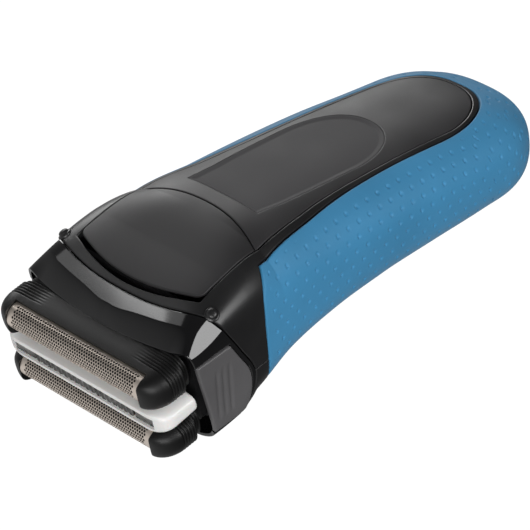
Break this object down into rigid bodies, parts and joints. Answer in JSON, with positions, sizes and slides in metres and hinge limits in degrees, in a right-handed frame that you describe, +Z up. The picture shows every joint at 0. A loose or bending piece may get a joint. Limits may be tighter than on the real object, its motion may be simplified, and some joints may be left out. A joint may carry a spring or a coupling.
{
  "type": "electric shaver",
  "caption": "Cordless foil shaver with a floating head, a pop-out long-hair trimmer on its back and a dimpled soft grip, lying on its front.",
  "frame": {"origin": "centre of the bounding box's footprint, on the surface the shaver lies on", "axes": "+X across the width, +Y from the shaving head to the foot, +Z up out of the back"},
  "size_m": [0.0636, 0.1618, 0.0438],
  "materials": {
    "blue_grip": "soft matte thermoplastic rubber with small dimples",
    "satin_black": "satin",
    "gloss_black": "polished",
    "dark_grey": "fine satin grain",
    "thumb_grey": "matte grain",
    "button_grey": "satin",
    "frame_rubber": "smooth satin rubber with fine ribs",
    "foil_steel": "perforated, warm",
    "steel": "machined",
    "white": "satin",
    "inner_plastic": "moulded",
    "cell_sleeve": "shrink sleeve",
    "board": "solder mask",
    "seal": "matte",
    "lens": "clear",
    "brass_pin": "plated"
  },
  "bodies": {
    "handle": {"soft_grip": "blue_grip", "back_frame": "satin_black", "front_housing": "satin_black", "back_cover": "dark_grey", "thumb_rest": "thumb_grey", "chassis_back": "inner_plastic", "chassis_front": "inner_plastic", "head_block": "gloss_black", "catch_right": "satin_black", "catch_left": "satin_black", "cassette_frame": "inner_plastic", "head_core": "inner_plastic", "bridge_spring_right": "steel", "bridge_spring_left": "steel", "motor": "steel", "motor_mount": "inner_plastic", "mount_screw_1": "steel", "mount_screw_2": "steel", "battery_cell": "cell_sleeve", "circuit_board": "board", "power_switch": "inner_plastic", "neck_bulkhead": "inner_plastic", "neck_seal": "seal", "indicator_lens": "lens", "power_socket": "inner_plastic", "socket_pin_right": "brass_pin", "socket_pin_left": "brass_pin"},
    "trimmer": {"trimmer_panel": "dark_grey", "trimmer_comb": "steel"},
    "trimmer_blade": {"trimmer_blade": "steel"},
    "release_right": {"release_button_right": "button_grey"},
    "release_left": {"release_button_left": "button_grey"},
    "power_button": {"power_button": "dark_grey"},
    "upper_foil": {"foil_frame_upper": "frame_rubber", "foil_upper": "foil_steel", "float_spring_upper": "steel"},
    "lower_foil": {"foil_frame_lower": "frame_rubber", "foil_lower": "foil_steel", "float_spring_lower": "steel"},
    "middle_trimmer": {"middle_frame": "white", "middle_comb": "foil_steel", "float_spring_middle": "steel"},
    "bridge": {"drive_bridge": "white", "drive_pin_upper": "steel", "drive_pin_lower": "steel", "drive_pin_middle": "steel"},
    "upper_cutter": {"cutter_block_upper": "steel"},
    "lower_cutter": {"cutter_block_lower": "steel"},
    "middle_blade": {"middle_blade": "steel"},
    "crank": {"eccentric_crank": "white"}
  },
  "joints": [
    {"name": "trimmer_slide", "type": "slide", "parent": "handle", "child": "trimmer", "axis": [0, -0.9659, 0.2588], "range_m": [0, 0.01]},
    {"name": "trimmer_blade_swing", "type": "slide", "parent": "trimmer", "child": "trimmer_blade", "axis": [1, 0, 0], "range_m": [-0.0009, 0.0009]},
    {"name": "release_right_press", "type": "hinge", "parent": "handle", "child": "release_right", "pos_m": [0.0312, -0.0645, 0.0145], "axis": [0, 0, 1], "range_deg": [0, 3.5], "stiffness_Nm_per_rad": 0.15, "springref_deg": -1.72},
    {"name": "release_left_press", "type": "hinge", "parent": "handle", "child": "release_left", "pos_m": [-0.0312, -0.0645, 0.0145], "axis": [0, 0, -1], "range_deg": [0, 3.5], "stiffness_Nm_per_rad": 0.15, "springref_deg": -1.72},
    {"name": "power_press", "type": "slide", "parent": "handle", "child": "power_button", "axis": [0, 0, 1], "range_m": [0, 0.0005], "stiffness_N_per_m": 400, "springref_m": -0.001},
    {"name": "upper_foil_float", "type": "slide", "parent": "handle", "child": "upper_foil", "axis": [0, 0.9962, 0.0872], "range_m": [0, 0.0012], "stiffness_N_per_m": 300, "springref_m": -0.001},
    {"name": "lower_foil_float", "type": "slide", "parent": "handle", "child": "lower_foil", "axis": [0, 0.9962, 0.0872], "range_m": [0, 0.0012], "stiffness_N_per_m": 300, "springref_m": -0.001},
    {"name": "middle_trimmer_float", "type": "slide", "parent": "handle", "child": "middle_trimmer", "axis": [0, 0.9962, 0.0872], "range_m": [0, 0.0012], "stiffness_N_per_m": 300, "springref_m": -0.001},
    {"name": "bridge_swing", "type": "slide", "parent": "handle", "child": "bridge", "axis": [1, 0, 0], "range_m": [-0.001, 0.001], "stiffness_N_per_m": 400},
    {"name": "upper_cutter_float", "type": "slide", "parent": "bridge", "child": "upper_cutter", "axis": [0, 0.9962, 0.0872], "range_m": [0, 0.0012]},
    {"name": "lower_cutter_float", "type": "slide", "parent": "bridge", "child": "lower_cutter", "axis": [0, 0.9962, 0.0872], "range_m": [0, 0.0012]},
    {"name": "middle_blade_float", "type": "slide", "parent": "bridge", "child": "middle_blade", "axis": [0, 0.9962, 0.0872], "range_m": [0, 0.0012]},
    {"name": "crank_spin", "type": "hinge", "parent": "handle", "child": "crank", "pos_m": [0, -0.049, 0.0205], "axis": [0, 1, 0], "continuous": true}
  ],
  "couplings": [
    {"joint": "upper_cutter_float", "follows": "upper_foil_float", "ratio": 1},
    {"joint": "lower_cutter_float", "follows": "lower_foil_float", "ratio": 1},
    {"joint": "middle_blade_float", "follows": "middle_trimmer_float", "ratio": 1}
  ]
}
